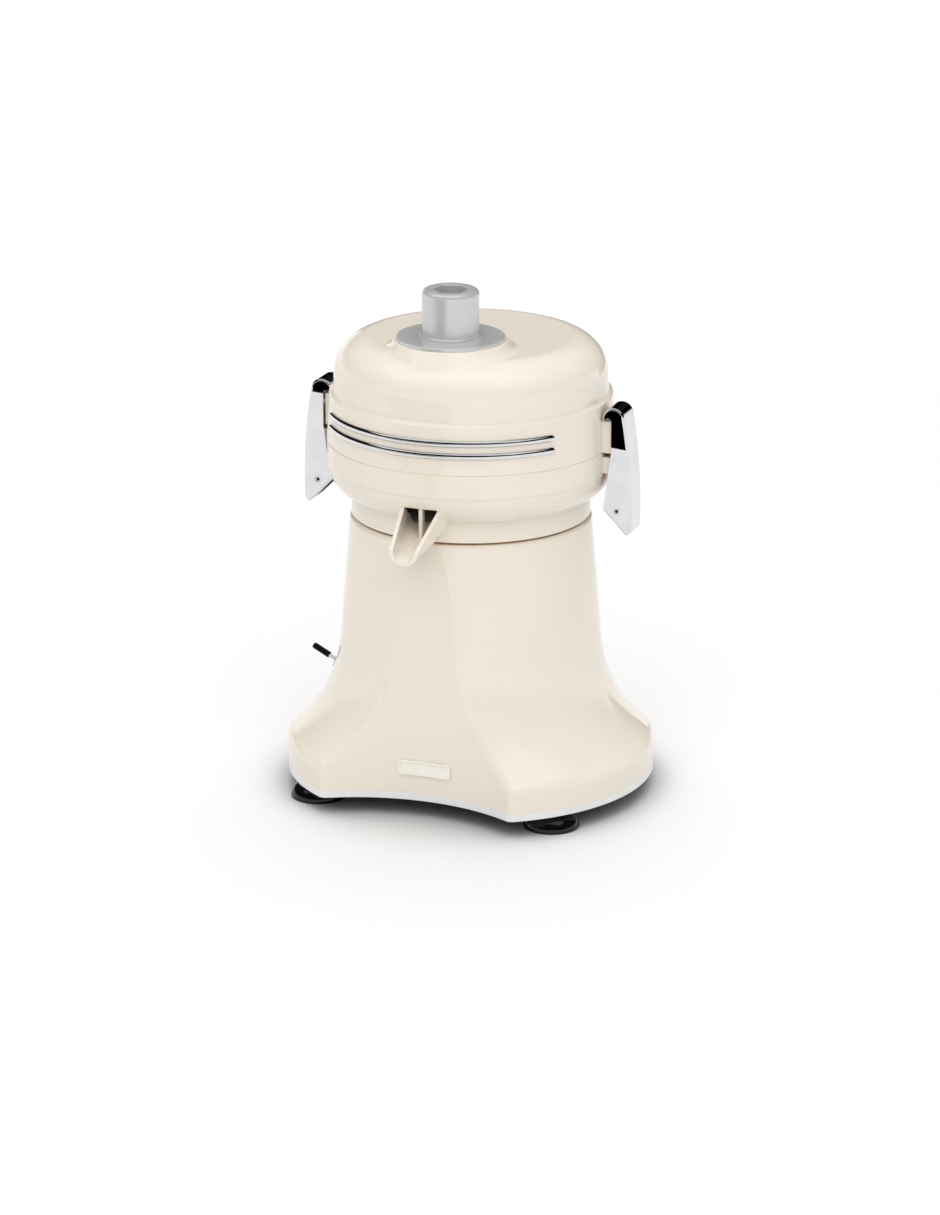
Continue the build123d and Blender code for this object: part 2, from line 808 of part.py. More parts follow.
with BuildPart() as capacitor_clamp:
    strap_radius = capacitor_radius + clamp_thickness
    strap_inner = capacitor_radius + fit_clearance
    with BuildSketch(Plane.YZ):
        with Locations((capacitor_offset, capacitor_level)):
            Circle(strap_radius)
            Rectangle(2 * strap_radius, capacitor_radius, align=(Align.CENTER, Align.MAX))
        with Locations((capacitor_offset, housing_bottom)):
            Rectangle(2 * (strap_radius + clamp_foot), clamp_thickness, align=(Align.CENTER, Align.MIN))
        with Locations((capacitor_offset, capacitor_level)):
            Circle(strap_inner, mode=Mode.SUBTRACT)
            Rectangle(2 * strap_inner, strap_radius, align=(Align.CENTER, Align.MAX), mode=Mode.SUBTRACT)
        # The full circle reaches below the plate's face, so its foot is trimmed level
        with Locations((capacitor_offset, housing_bottom)):
            Rectangle(2 * strap_radius, strap_radius, align=(Align.CENTER, Align.MAX), mode=Mode.SUBTRACT)
    extrude(amount=clamp_width / 2, both=True)
    with Locations(*[(x, y, housing_bottom) for x, y in clamp_screw_places]):
        Cylinder(small_screw_radius + screw_clearance, clamp_thickness, align=on_base, mode=Mode.SUBTRACT)

capacitor_clamp.part.label = "capacitor_clamp"
export_step(capacitor_clamp.part, "parts/capacitor_clamp.step")

clamp_seat = housing_bottom + clamp_thickness
clamp_screw = screw_solid(
    small_screw_radius,
    clamp_thickness + plate_thickness,
    small_screw_head_radius,
    small_screw_head_height,
)
with BuildPart() as clamp_screws:
    with Locations(*[Location((x, y, clamp_seat), (180, 0, 0)) for x, y in clamp_screw_places]):
        add(clamp_screw)

clamp_screws.part.label = "clamp_screws"
export_step(clamp_screws.part, "parts/clamp_screws.step")

# Toggle switch: body inside the wall, threaded bushing through it, nut outside
switch_bore = switch_ball_radius + switch_ball_clearance
bore_floor = -switch_pivot_depth - 2 * switch_ball_radius
with BuildPart() as switch_body:
    with BuildSketch(switch_plane.offset(switch_face)):
        Rectangle(switch_body_width, switch_body_height)
    extrude(amount=-switch_body_depth)
    with BuildSketch(switch_plane.offset(switch_face)):
        Circle(switch_bushing_radius)
    extrude(amount=switch_bushing_reach - switch_face)
    with BuildSketch(switch_plane.offset(switch_face - switch_body_depth)):
        with GridLocations(0, terminal_pitch, 1, terminal_count):
            Rectangle(terminal_width, terminal_thickness)
    extrude(amount=-terminal_length)
    with BuildSketch(switch_plane.offset(bore_floor)):
        Circle(switch_bore)
    extrude(amount=switch_bushing_reach - bore_floor, mode=Mode.SUBTRACT)
    with BuildSketch(switch_plane.offset(switch_ball_radius - switch_pivot_depth)):
        Circle(switch_bore)
    with BuildSketch(switch_plane.offset(switch_bushing_reach)):
        Circle(switch_mouth_radius)
    loft(mode=Mode.SUBTRACT)

switch_body.part.label = "switch_body"
export_step(switch_body.part, "parts/switch_body.step")

with BuildPart() as switch_nut:
    with BuildSketch(switch_plane.offset(-switch_seat_depth)):
        RegularPolygon(switch_nut_flats / 2, 6, major_radius=False)
        Circle(switch_bushing_radius + fit_clearance, mode=Mode.SUBTRACT)
    extrude(amount=switch_nut_height)

switch_nut.part.label = "switch_nut"
export_step(switch_nut.part, "parts/switch_nut.step")

stem_length = sleeve_start + sleeve_length - sleeve_end_radius
with BuildPart() as switch_lever:
    with BuildSketch(lever_plane):
        Circle(switch_stem_radius)
    extrude(amount=stem_length)
    with Locations(lever_plane):
        Sphere(switch_ball_radius)

switch_lever.part.label = "switch_lever"
export_step(switch_lever.part, "parts/switch_lever.step")

with BuildPart() as switch_sleeve:
    with BuildSketch(lever_plane.offset(sleeve_start)):
        Circle(sleeve_radius)
    extrude(amount=sleeve_length)
    fillet(switch_sleeve.edges().filter_by(GeomType.CIRCLE), radius=sleeve_end_radius)
    with BuildSketch(lever_plane.offset(sleeve_start)):
        Circle(switch_stem_radius + fit_clearance)
    extrude(amount=sleeve_length - sleeve_end_radius, mode=Mode.SUBTRACT)

switch_sleeve.part.label = "switch_sleeve"
export_step(switch_sleeve.part, "parts/switch_sleeve.step")

# Cord gland in the back of the rim, with its nut on the curved wall inside
gland_nut_face = sqrt((rim_radius - housing_wall) ** 2 - gland_nut_radius**2) - fit_clearance
gland_depth = rim_radius - gland_seat_depth - gland_nut_face + gland_nut_height
with BuildPart() as cord_gland:
    with BuildSketch(gland_plane):
        Circle(gland_lip_radius)
    extrude(amount=gland_lip)
    with BuildSketch(gland_plane):
        Circle(gland_radius)
    extrude(amount=-gland_depth)
    with BuildSketch(gland_plane.offset(gland_lip)):
        Circle(gland_bore)
    extrude(amount=-gland_lip - gland_depth, mode=Mode.SUBTRACT)

cord_gland.part.label = "cord_gland"
export_step(cord_gland.part, "parts/cord_gland.step")

with BuildPart() as cord_gland_nut:
    with BuildSketch(gland_plane.offset(gland_nut_height - gland_depth)):
        RegularPolygon(gland_nut_radius, 6)
        Circle(gland_radius + fit_clearance, mode=Mode.SUBTRACT)
    extrude(amount=-gland_nut_height)

cord_gland_nut.part.label = "cord_gland_nut"
export_step(cord_gland_nut.part, "parts/cord_gland_nut.step")

# Gasket between the base and the bowl
with BuildPart() as bowl_gasket:
    with BuildSketch(Plane.XY.offset(housing_top)):
        Circle(gasket_radius)
        Circle(bowl_foot_inner, mode=Mode.SUBTRACT)
    extrude(amount=gasket_thickness)

bowl_gasket.part.label = "bowl_gasket"
export_step(bowl_gasket.part, "parts/bowl_gasket.step")

# The spout narrows and falls from the bowl's floor to its tip
spout_root_top = bowl_bottom + spout_root_rise
spout_tip_top = bowl_bottom + spout_tip_rise
spout_tip_bottom = spout_tip_top - spout_tip_depth
spout_run = spout_reach - spout_root
spout_round = (spout_tip_width - spout_flat) / 2
spout_taper = (spout_root_width - spout_tip_width) / spout_run
spout_top_slope = (spout_root_top - spout_tip_top) / spout_run
spout_fall = (bowl_floor - spout_wall - spout_tip_bottom) / (spout_reach - spout_inner_end)
trough_start = spout_inner_end - cut_margin
trough_end = spout_reach + cut_margin


def spout_section(distance, wall, top):
    """Round-bottomed section of the spout at a distance in front of the axis, drawn in by a wall"""
    from_tip = spout_reach - distance
    width = spout_tip_width + spout_taper * from_tip
    bottom = spout_tip_bottom + spout_fall * from_tip + wall
    with BuildSketch(Plane.XZ.offset(distance)) as section:
        with Locations((0, bottom)):
            Rectangle(width - 2 * wall, top - bottom, align=(Align.CENTER, Align.MIN))
        fillet(section.vertices().group_by(Axis.Y)[0], radius=spout_round - wall)
    return section.sketch


spout_inner_top = spout_tip_top + spout_top_slope * (spout_reach - spout_inner_end)
spout_inner_section = spout_section(spout_inner_end, 0, spout_inner_top)
spout_tip_section = spout_section(spout_reach, 0, spout_tip_top)
trough_start_section = spout_section(trough_start, spout_wall, spout_root_top)
trough_end_section = spout_section(trough_end, spout_wall, spout_root_top)

with BuildPart() as spout_trough:
    loft(sections=[trough_start_section, trough_end_section], ruled=True)

# Arms on the bowl's sides that carry the latch pins
arm_top = seam_level - bowl_lug_top
arm_bottom = arm_top - bowl_lug_height
arm_inner = latch_pivot[0] - latch_arm_radius
arm_outer = latch_pivot[0] + latch_arm_radius
with BuildPart() as latch_arm:
    with BuildSketch(Plane.XZ):
        with BuildLine():
            Polyline(
                (arm_outer, latch_pivot[1]),
                (arm_outer, arm_top),
                (band_radius - lug_sink, arm_top),
                (band_radius - lug_sink, arm_bottom),
                (arm_inner, arm_bottom),
                (arm_inner, latch_pivot[1]),
            )
            TangentArc((arm_inner, latch_pivot[1]), (arm_outer, latch_pivot[1]), tangent=(0, -1))
        make_face()
    extrude(amount=latch_arm_width / 2, both=True)
    with BuildSketch(Plane.XZ):
        with Locations(latch_pivot):
            Circle(latch_pin_radius + fit_clearance)
    extrude(amount=latch_arm_width / 2, both=True, mode=Mode.SUBTRACT)

# Bowl: outside with its spout and arms, then the hollow round the shaft's tower
bowl_underfloor = bowl_floor - bowl_floor_thickness
bowl_inner = skirt_radius - bowl_wall
inner_arc_radius = underside_radius - bowl_wall
inner_arc_level = band_bottom - sqrt(inner_arc_radius**2 - (bowl_inner - underside_centre) ** 2)
bowl_rim_inner = band_radius - bowl_rim_width
rim_ledge = seam_level - bowl_rim_depth
rim_ledge_run = underside_start - bowl_wall - bowl_rim_inner
with BuildPart() as bowl_cavity:
    with BuildSketch(Plane.XZ):
        with BuildLine():
            Polyline((0, bowl_floor), (bowl_inner, bowl_floor), (bowl_inner, inner_arc_level))
            TangentArc(
                (underside_start - bowl_wall, band_bottom),
                (bowl_inner, inner_arc_level),
                tangent=(0, -1),
            )
            Polyline(
                (underside_start - bowl_wall, band_bottom),
                (underside_start - bowl_wall, rim_ledge - rim_ledge_run),
                (bowl_rim_inner, rim_ledge),
                (bowl_rim_inner, seam_level),
                (0, seam_level),
                (0, bowl_floor),
            )
        make_face()
    revolve(axis=Axis.Z)
    with Locations((0, 0, bowl_floor)):
        Cylinder(tower_radius, tower_height, align=on_base, mode=Mode.SUBTRACT)

rib_bottom = spout_tip_bottom + spout_fall * spout_run + spout_wall - spout_rib_sink
with BuildPart() as bowl:
    with BuildSketch(Plane.XZ):
        with BuildLine():
            Polyline(
                (0, bowl_underfloor),
                (bowl_foot_inner, bowl_underfloor),
                (bowl_foot_inner, bowl_bottom),
                (skirt_radius, bowl_bottom),
                (skirt_radius, skirt_top),
            )
            TangentArc((underside_start, band_bottom), (skirt_radius, skirt_top), tangent=(0, -1))
            Polyline(
                (underside_start, band_bottom),
                (band_radius, band_bottom),
                (band_radius, seam_level - seam_chamfer),
                (band_radius - seam_chamfer, seam_level),
                (0, seam_level),
                (0, bowl_underfloor),
            )
        make_face()
    revolve(axis=Axis.Z)
    loft(sections=[spout_inner_section, spout_tip_section], ruled=True)
    blend_top = spout_root_top - spout_blend_radius
    blend_edges = [edge for edge in bowl.edges(Select.NEW) if edge.center().Z < blend_top]
    fillet(blend_edges, radius=spout_blend_radius)
    add(latch_arm.part)
    mirror(latch_arm.part, about=Plane.YZ)
    with Locations((0, 0, housing_top)):
        with PolarLocations(bowl_screw_circle, screw_count, start_angle=screw_turn):
            Cylinder(bowl_boss_radius, bowl_underfloor - housing_top, align=on_base)
    add(bowl_cavity.part, mode=Mode.SUBTRACT)
    add(spout_trough.part, mode=Mode.SUBTRACT)
    # Upright rib in the outlet
    with Locations((0, -spout_root, rib_bottom)):
        rib_height = spout_root_top + spout_rib_sink - rib_bottom
        Box(spout_rib, spout_rib_depth, rib_height, align=on_base)
    # Shaft bore with the seal's seat, blind screw holes, and the groove for the lid's gasket
    with Locations((0, 0, tower_top)):
        Cylinder(tower_bore, tower_top - bowl_underfloor, align=hanging, mode=Mode.SUBTRACT)
        Cylinder(seal_radius + fit_clearance, seal_height, align=hanging, mode=Mode.SUBTRACT)
    with Locations((0, 0, housing_top)):
        with PolarLocations(bowl_screw_circle, screw_count, start_angle=screw_turn):
            Cylinder(
                small_screw_radius + screw_clearance,
                bowl_screw_grip + head_room,
                align=on_base,
                mode=Mode.SUBTRACT,
            )
    with BuildSketch(Plane.XY.offset(seam_level)):
        Circle(groove_middle + lid_gasket_width / 2)
        Circle(groove_middle - lid_gasket_width / 2, mode=Mode.SUBTRACT)
    extrude(amount=-lid_gasket_depth, mode=Mode.SUBTRACT)

bowl.part.label = "bowl"
export_step(bowl.part, "parts/bowl.step")

# Screws from under the deck up into the bowl
bowl_screw = screw_solid(
    small_screw_radius,
    housing_wall + bowl_screw_grip,
    small_screw_head_radius,
    small_screw_head_height,
)
with BuildPart() as bowl_screws:
    with Locations((0, 0, deck_bottom)):
        with PolarLocations(bowl_screw_circle, screw_count, start_angle=screw_turn):
            add(bowl_screw)

bowl_screws.part.label = "bowl_screws"
export_step(bowl_screws.part, "parts/bowl_screws.step")

with BuildPart() as shaft_seal:
    with BuildSketch(Plane.XY.offset(tower_top)):
        Circle(seal_radius)
        Circle(shaft_radius + running_clearance, mode=Mode.SUBTRACT)
    extrude(amount=-seal_height)

shaft_seal.part.label = "shaft_seal"
export_step(shaft_seal.part, "parts/shaft_seal.step")

with BuildPart() as lid_gasket:
    with BuildSketch(Plane.XY.offset(seam_level)):
        Circle(groove_middle + lid_gasket_width / 2 - fit_clearance)
        Circle(groove_middle - lid_gasket_width / 2 + fit_clearance, mode=Mode.SUBTRACT)
    extrude(amount=-lid_gasket_depth)

lid_gasket.part.label = "lid_gasket"
export_step(lid_gasket.part, "parts/lid_gasket.step")

# Spinning stack on the shaft: slinger, hub, strainer basket, grater disc, washer and nut
stack_bore = shaft_thread_radius + fit_clearance
with BuildPart() as slinger:
    with BuildSketch(Plane.XY.offset(slinger_bottom)):
        Circle(slinger_radius)
        Circle(shaft_radius + fit_clearance, mode=Mode.SUBTRACT)
    extrude(amount=slinger_thickness)

slinger.part.label = "slinger"
export_step(slinger.part, "parts/slinger.step")

with BuildPart() as basket_hub:
    with BuildSketch(Plane.XY.offset(hub_bottom)):
        Circle(hub_radius)
        Circle(stack_bore, mode=Mode.SUBTRACT)
    extrude(amount=hub_height)

basket_hub.part.label = "basket_hub"
export_step(basket_hub.part, "parts/basket_hub.step")

basket_top = basket_bottom + basket_height
basket_flare = (basket_rim_radius - basket_floor_radius) / basket_height
slot_pitch = basket_height / slot_rows
slot_levels = [basket_bottom + slot_pitch * (row + 1 / 2) for row in range(slot_rows)]
with BuildPart() as strainer_basket:
    with BuildSketch(Plane.XZ):
        with BuildLine():
            Polyline(
                (stack_bore, basket_bottom),
                (basket_floor_radius, basket_bottom),
                (basket_rim_radius, basket_top - basket_sheet),
                (basket_rim_radius + basket_lip, basket_top - basket_sheet),
                (basket_rim_radius + basket_lip, basket_top),
                (basket_rim_radius - basket_sheet, basket_top),
                (basket_floor_radius - basket_sheet, grater_bottom),
                (stack_bore, grater_bottom),
                close=True,
            )
        make_face()
    revolve(axis=Axis.Z)
    for level in slot_levels:
        with Locations((0, 0, level)):
            with PolarLocations(basket_floor_radius + basket_flare * (level - basket_bottom), slot_count):
                Box(basket_rim_radius - basket_floor_radius, slot_width, slot_length, mode=Mode.SUBTRACT)

strainer_basket.part.label = "strainer_basket"
export_step(strainer_basket.part, "parts/strainer_basket.step")

with BuildPart() as grater_disc:
    with BuildSketch(Plane.XY.offset(grater_bottom)):
        Circle(basket_floor_radius - basket_sheet - grater_margin)
        Circle(stack_bore, mode=Mode.SUBTRACT)
    extrude(amount=grater_thickness)
    for ring in range(tooth_rings):
        with Locations((0, 0, grater_top)):
            with PolarLocations(tooth_first_ring + ring * tooth_ring_pitch, tooth_count):
                Cone(tooth_radius, tooth_tip_radius, tooth_height, align=on_base)

grater_disc.part.label = "grater_disc"
export_step(grater_disc.part, "parts/grater_disc.step")

with BuildPart() as basket_washer:
    with BuildSketch(Plane.XY.offset(grater_top)):
        Circle(washer_radius)
        Circle(stack_bore, mode=Mode.SUBTRACT)
    extrude(amount=washer_thickness)

basket_washer.part.label = "basket_washer"
export_step(basket_washer.part, "parts/basket_washer.step")

with BuildPart() as basket_nut:
    with BuildSketch(Plane.XY.offset(washer_top)):
        RegularPolygon(nut_flats / 2, 6, major_radius=False)
    extrude(amount=nut_height)
    fillet(basket_nut.faces().sort_by(Axis.Z)[-1].edges(), radius=nut_edge)
    with BuildSketch(Plane.XY.offset(washer_top)):
        Circle(stack_bore)
    extrude(amount=nut_height - nut_cap, mode=Mode.SUBTRACT)

basket_nut.part.label = "basket_nut"
export_step(basket_nut.part, "parts/basket_nut.step")

# Lugs on the lid's sides that the latch hooks grip
with BuildPart() as lid_lug:
    lug_inner = band_radius - lug_sink - seam_chamfer
    with Locations((lug_inner, 0, seam_level + lug_bottom)):
        Box(lug_face - lug_inner, lug_width, lug_height, align=(Align.MIN, Align.CENTER, Align.MIN))
    fillet(lid_lug.faces().sort_by(Axis.X)[-1].edges(), radius=lug_edge_radius)

# Lid: band, dome and the sloped boss round the feed tube, hollowed afterwards
shoulder_start = dome_spring_radius - dome_shoulder_radius
lid_band_inner = band_radius - lid_band_wall
with BuildPart() as lid_cavity:
    with BuildSketch(Plane.XZ):
        with BuildLine():
            Polyline(
                (0, dome_inside),
                (0, seam_level),
                (lid_band_inner, seam_level),
                (lid_band_inner, lid_band_top - lid_wall),
                (dome_radius - lid_wall, dome_bottom),
                (dome_spring_radius - lid_wall, dome_spring),
            )
            TangentArc(
                (dome_spring_radius - lid_wall, dome_spring),
                (shoulder_start, dome_inside),
                tangent=(0, 1),
            )
            Line((shoulder_start, dome_inside), (0, dome_inside))
        make_face()
    revolve(axis=Axis.Z)

with BuildPart() as lid:
    with BuildSketch(Plane.XZ):
        with BuildLine():
            Line((0, dome_top), (shoulder_start, dome_top))
            TangentArc((shoulder_start, dome_top), (dome_spring_radius, dome_spring), tangent=(1, 0))
            Polyline(
                (dome_spring_radius, dome_spring),
                (dome_radius, dome_bottom),
                (lid_band_top_radius, lid_band_top),
                (band_radius, seam_level + seam_chamfer),
                (band_radius - seam_chamfer, seam_level),
                (0, seam_level),
                (0, dome_top),
            )
        make_face()
    revolve(axis=Axis.Z)
    fillet(lid.edges().filter_by_position(Axis.Z, lid_band_top, lid_band_top), radius=lid_band_edge_radius)
    with Locations((0, -boss_offset, boss_top)):
        Cone(boss_foot_radius, boss_top_radius, boss_depth, align=hanging)
    boss_foot_edges = lid.edges(Select.LAST).filter_by_position(
        Axis.Z, dome_spring, dome_top, inclusive=(False, True)
    )
    fillet(boss_foot_edges, radius=boss_blend_radius)
    fillet(lid.faces().sort_by(Axis.Z)[-1].edges(), radius=boss_edge_radius)
    add(lid_lug.part)
    mirror(lid_lug.part, about=Plane.YZ)
    add(lid_cavity.part, mode=Mode.SUBTRACT)
    with Locations((0, -boss_offset, boss_top)):
        Cylinder(tube_radius + fit_clearance, boss_top - dome_inside, align=hanging, mode=Mode.SUBTRACT)

lid.part.label = "lid"
export_step(lid.part, "parts/lid.step")

# Feed tube with its flange and a six-sided chute
with BuildPart() as feed_tube:
    with BuildSketch(Plane.XY.offset(tube_bottom)):
        with Locations(tube_place):
            Circle(tube_radius)
    extrude(amount=tube_top - tube_bottom)
    with BuildSketch(Plane.XY.offset(boss_top)):
        with Locations(tube_place):
            Circle(tube_flange_radius)
    extrude(amount=tube_flange_thickness)
    flange_edges = feed_tube.edges().filter_by_position(Axis.Z, flange_top, flange_top).sort_by(SortBy.RADIUS)
    fillet(flange_edges[-1], radius=tube_flange_edge)
    with Locations((0, -boss_offset, flange_top)):
        Torus(tube_radius, tube_bead_radius)
    fillet(feed_tube.faces().sort_by(Axis.Z)[-1].edges(), radius=tube_rim_radius)
    with BuildSketch(Plane.XY.offset(tube_bottom)):
        with Locations(tube_place):
            RegularPolygon(tube_hex_radius, 6, rotation=tube_hex_turn)
    extrude(amount=tube_top - tube_bottom, mode=Mode.SUBTRACT)
    fillet(feed_tube.faces().sort_by(Axis.Z)[-1].inner_wires()[0].edges(), radius=tube_hex_edge)

feed_tube.part.label = "feed_tube"
export_step(feed_tube.part, "parts/feed_tube.step")

with BuildPart() as feed_tube_lock_ring:
    with BuildSketch(Plane.XY.offset(dome_inside)):
        with Locations(tube_place):
            Circle(lock_ring_radius)
            Circle(tube_radius + fit_clearance, mode=Mode.SUBTRACT)
    extrude(amount=-lock_ring_height)

feed_tube_lock_ring.part.label = "feed_tube_lock_ring"
export_step(feed_tube_lock_ring.part, "parts/feed_tube_lock_ring.step")

# Latches: a hooked channel that turns on a pin in the bowl's arm
pocket_top = hook_level - latch_hook_root
pocket_bottom = latch_tip[1] + latch_tip_floor
pocket_levels = (pocket_top, (pocket_top + pocket_bottom) / 2, pocket_bottom)
web_radius = face_radius - latch_web
web_points = [(face_centre[0] + sqrt(web_radius**2 - (z - face_centre[1]) ** 2), z) for z in pocket_levels]
with BuildPart() as latch_right:
    with BuildSketch(Plane.XZ) as latch_outline:
        with BuildLine():
            ThreePointArc(hook_nose, crown_top, latch_shoulder)
            TangentArc(latch_shoulder, latch_outer_low, tangent=(sin(crown_turn), -cos(crown_turn)))
            Polyline(latch_outer_low, latch_tip, latch_heel, latch_bend, notch_end)
            ThreePointArc(notch_end, notch_top, nose_end)
            Line(nose_end, hook_nose)
        make_face()
        fillet(latch_outline.vertices().sort_by_distance(latch_outer_low)[0], radius=latch_tip_radius)
        fillet(latch_outline.vertices().sort_by_distance(latch_tip)[0], radius=latch_tip_radius)
    extrude(amount=latch_width / 2, both=True)
    side_faces = latch_right.faces().sort_by(Axis.Y)
    side_edges = side_faces[0].edges() + side_faces[-1].edges()
    outer_edges = [edge for edge in side_edges if edge.center().X > latch_inner + body_gap]
    fillet(outer_edges, radius=latch_edge_radius)
    # The channel that straddles the arm
    with BuildSketch(Plane.XZ):
        with BuildLine():
            ThreePointArc(*web_points)
            Polyline(
                web_points[-1],
                (band_radius, pocket_bottom),
                (band_radius, pocket_top),
                web_points[0],
            )
        make_face()
    extrude(amount=latch_pocket_width / 2, both=True, mode=Mode.SUBTRACT)
    with BuildSketch(Plane.XZ):
        with Locations(latch_pivot):
            Circle(latch_pin_radius + running_clearance)
    extrude(amount=latch_width / 2, both=True, mode=Mode.SUBTRACT)

latch_right.part.label = "latch_right"
export_step(latch_right.part, "parts/latch_right.step")

with BuildPart() as latch_left:
    mirror(latch_right.part, about=Plane.YZ)

latch_left.part.label = "latch_left"
export_step(latch_left.part, "parts/latch_left.step")

# Hollow pins, fixed in the arms
with BuildPart() as latch_pin_right:
    with BuildSketch(Plane.XZ):
        with Locations(latch_pivot):
            Circle(latch_pin_radius)
            Circle(latch_pin_bore, mode=Mode.SUBTRACT)
    extrude(amount=latch_width / 2 - latch_pin_inset, both=True)

latch_pin_right.part.label = "latch_pin_right"
export_step(latch_pin_right.part, "parts/latch_pin_right.step")

with BuildPart() as latch_pin_left:
    mirror(latch_pin_right.part, about=Plane.YZ)

latch_pin_left.part.label = "latch_pin_left"
export_step(latch_pin_left.part, "parts/latch_pin_left.step")

# Plain bright strips round the front of the lid's band
band_lean = (band_radius - lid_band_top_radius) / (lid_band_height - seam_chamfer)
strip_start = radians(-90 - strip_half_angle)
strip_plane = Plane(
    origin=(0, 0, seam_level + strip_centre),
    x_dir=(cos(strip_start), sin(strip_start), 0),
    z_dir=(sin(strip_start), -cos(strip_start), 0),
)
strip_middle = band_radius - band_lean * (strip_centre - seam_chamfer) + adhesive_layer
with BuildPart() as lid_trim_strips:
    with BuildSketch(strip_plane):
        for side in (-1, 1):
            middle = side * (strip_gap + strip_height) / 2
            low = middle - strip_height / 2
            high = middle + strip_height / 2
            low_edge = (strip_middle - band_lean * low + strip_edge_rise, low)
            high_edge = (strip_middle - band_lean * high + strip_edge_rise, high)
            with BuildLine():
                ThreePointArc(low_edge, (strip_middle - band_lean * middle + strip_rise, middle), high_edge)
                Polyline(
                    high_edge,
                    (strip_middle - band_lean * high, high),
                    (strip_middle - band_lean * low, low),
                    low_edge,
                )
            make_face()
    revolve(axis=Axis.Z, revolution_arc=2 * strip_half_angle)
    end_edges = lid_trim_strips.edges().filter_by(GeomType.LINE).group_by(SortBy.LENGTH)[0]
    fillet(end_edges, radius=strip_end_radius)

lid_trim_strips.part.label = "lid_trim_strips"
export_step(lid_trim_strips.part, "parts/lid_trim_strips.step")

# Plain plate on the hollow front of the base
badge_back = bite_solid(-adhesive_layer)
badge_face = bite_solid(-adhesive_layer - badge_rise)
badge_field = bite_solid(badge_recess - adhesive_layer - badge_rise)
with BuildPart() as badge_hollow:
    with BuildSketch(Plane.XZ):
        with Locations((0, badge_level)):
            RectangleRounded(
                badge_width - 2 * badge_frame,
                badge_height - 2 * badge_frame,
                badge_corner - badge_frame,
            )
    extrude(amount=rim_radius)
    add(badge_field, mode=Mode.INTERSECT)

with BuildPart() as front_badge:
    with BuildSketch(Plane.XZ):
        with Locations((0, badge_level)):
            RectangleRounded(badge_width, badge_height, badge_corner)
    extrude(amount=rim_radius)
    add(badge_back, mode=Mode.INTERSECT)
    add(badge_face, mode=Mode.SUBTRACT)
    add(badge_hollow.part, mode=Mode.SUBTRACT)

front_badge.part.label = "front_badge"
export_step(front_badge.part, "parts/front_badge.step")
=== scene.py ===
import bpy, bmesh, json, math
from mathutils import Vector, Matrix

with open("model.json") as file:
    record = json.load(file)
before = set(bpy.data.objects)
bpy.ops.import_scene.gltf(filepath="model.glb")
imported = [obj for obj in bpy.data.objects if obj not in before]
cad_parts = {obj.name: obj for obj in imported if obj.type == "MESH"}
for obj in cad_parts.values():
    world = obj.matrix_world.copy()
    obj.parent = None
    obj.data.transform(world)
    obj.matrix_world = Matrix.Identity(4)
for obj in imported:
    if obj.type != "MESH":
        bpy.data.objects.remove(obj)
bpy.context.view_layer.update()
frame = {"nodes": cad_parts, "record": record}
nodes = frame["nodes"]
print("frame loaded:", len(nodes), "nodes")


def grey(level):
    return (level, level, level)


# helpers for node materials
def startMaterial(name):
    mat = bpy.data.materials.new(name)
    mat.use_nodes = True
    tree = mat.node_tree
    shader = tree.nodes["Principled BSDF"]
    coords = tree.nodes.new("ShaderNodeTexCoord")
    return mat, tree, shader, coords.outputs["Object"]


def addNoise(tree, vector, scale, detail=3.0, roughness=0.5, stretch=None):
    if stretch:
        mapping = tree.nodes.new("ShaderNodeMapping")
        mapping.inputs["Scale"].default_value = stretch
        tree.links.new(vector, mapping.inputs["Vector"])
        vector = mapping.outputs["Vector"]
    noise = tree.nodes.new("ShaderNodeTexNoise")
    noise.inputs["Scale"].default_value = scale
    noise.inputs["Detail"].default_value = detail
    noise.inputs["Roughness"].default_value = roughness
    tree.links.new(vector, noise.inputs["Vector"])
    return noise.outputs["Fac"]


def addRamp(tree, fac, stops):
    ramp = tree.nodes.new("ShaderNodeValToRGB")
    ramp.color_ramp.elements[0].position = stops[0][0]
    ramp.color_ramp.elements[0].color = (*stops[0][1], 1)
    ramp.color_ramp.elements[1].position = stops[-1][0]
    ramp.color_ramp.elements[1].color = (*stops[-1][1], 1)
    for place, colour in stops[1:-1]:
        ramp.color_ramp.elements.new(place).color = (*colour, 1)
    tree.links.new(fac, ramp.inputs["Fac"])
    return ramp.outputs["Color"]


def addTones(tree, fac, edges, low, high):
    return addRamp(tree, fac, [(edges[0], low), (edges[1], high)])


def addRange(tree, fac, low, high):
    spread = tree.nodes.new("ShaderNodeMapRange")
    spread.inputs["To Min"].default_value = low
    spread.inputs["To Max"].default_value = high
    tree.links.new(fac, spread.inputs["Value"])
    return spread.outputs["Result"]


def addBump(tree, shader, height, distance, strength=1.0, before=None):
    bump = tree.nodes.new("ShaderNodeBump")
    bump.inputs["Strength"].default_value = strength
    bump.inputs["Distance"].default_value = distance
    tree.links.new(height, bump.inputs["Height"])
    if before:
        tree.links.new(before, bump.inputs["Normal"])
    tree.links.new(bump.outputs["Normal"], shader.inputs["Normal"])
    return bump.outputs["Normal"]


# painted shade that gathers where surfaces meet: ambient occlusion, ramped, darkens the colour there
nookSamples = 8


def addPaintedShade(tree, colour, reach, stops):
    nook = tree.nodes.new("ShaderNodeAmbientOcclusion")
    nook.samples = nookSamples
    nook.inputs["Distance"].default_value = reach
    shade = addRamp(tree, nook.outputs["AO"], stops)
    mix = tree.nodes.new("ShaderNodeMix")
    mix.data_type = "RGBA"
    mix.blend_type = "MULTIPLY"
    mix.inputs["Factor"].default_value = 1
    tree.links.new(colour, mix.inputs["A"])
    tree.links.new(shade, mix.inputs["B"])
    return mix.outputs["Result"]
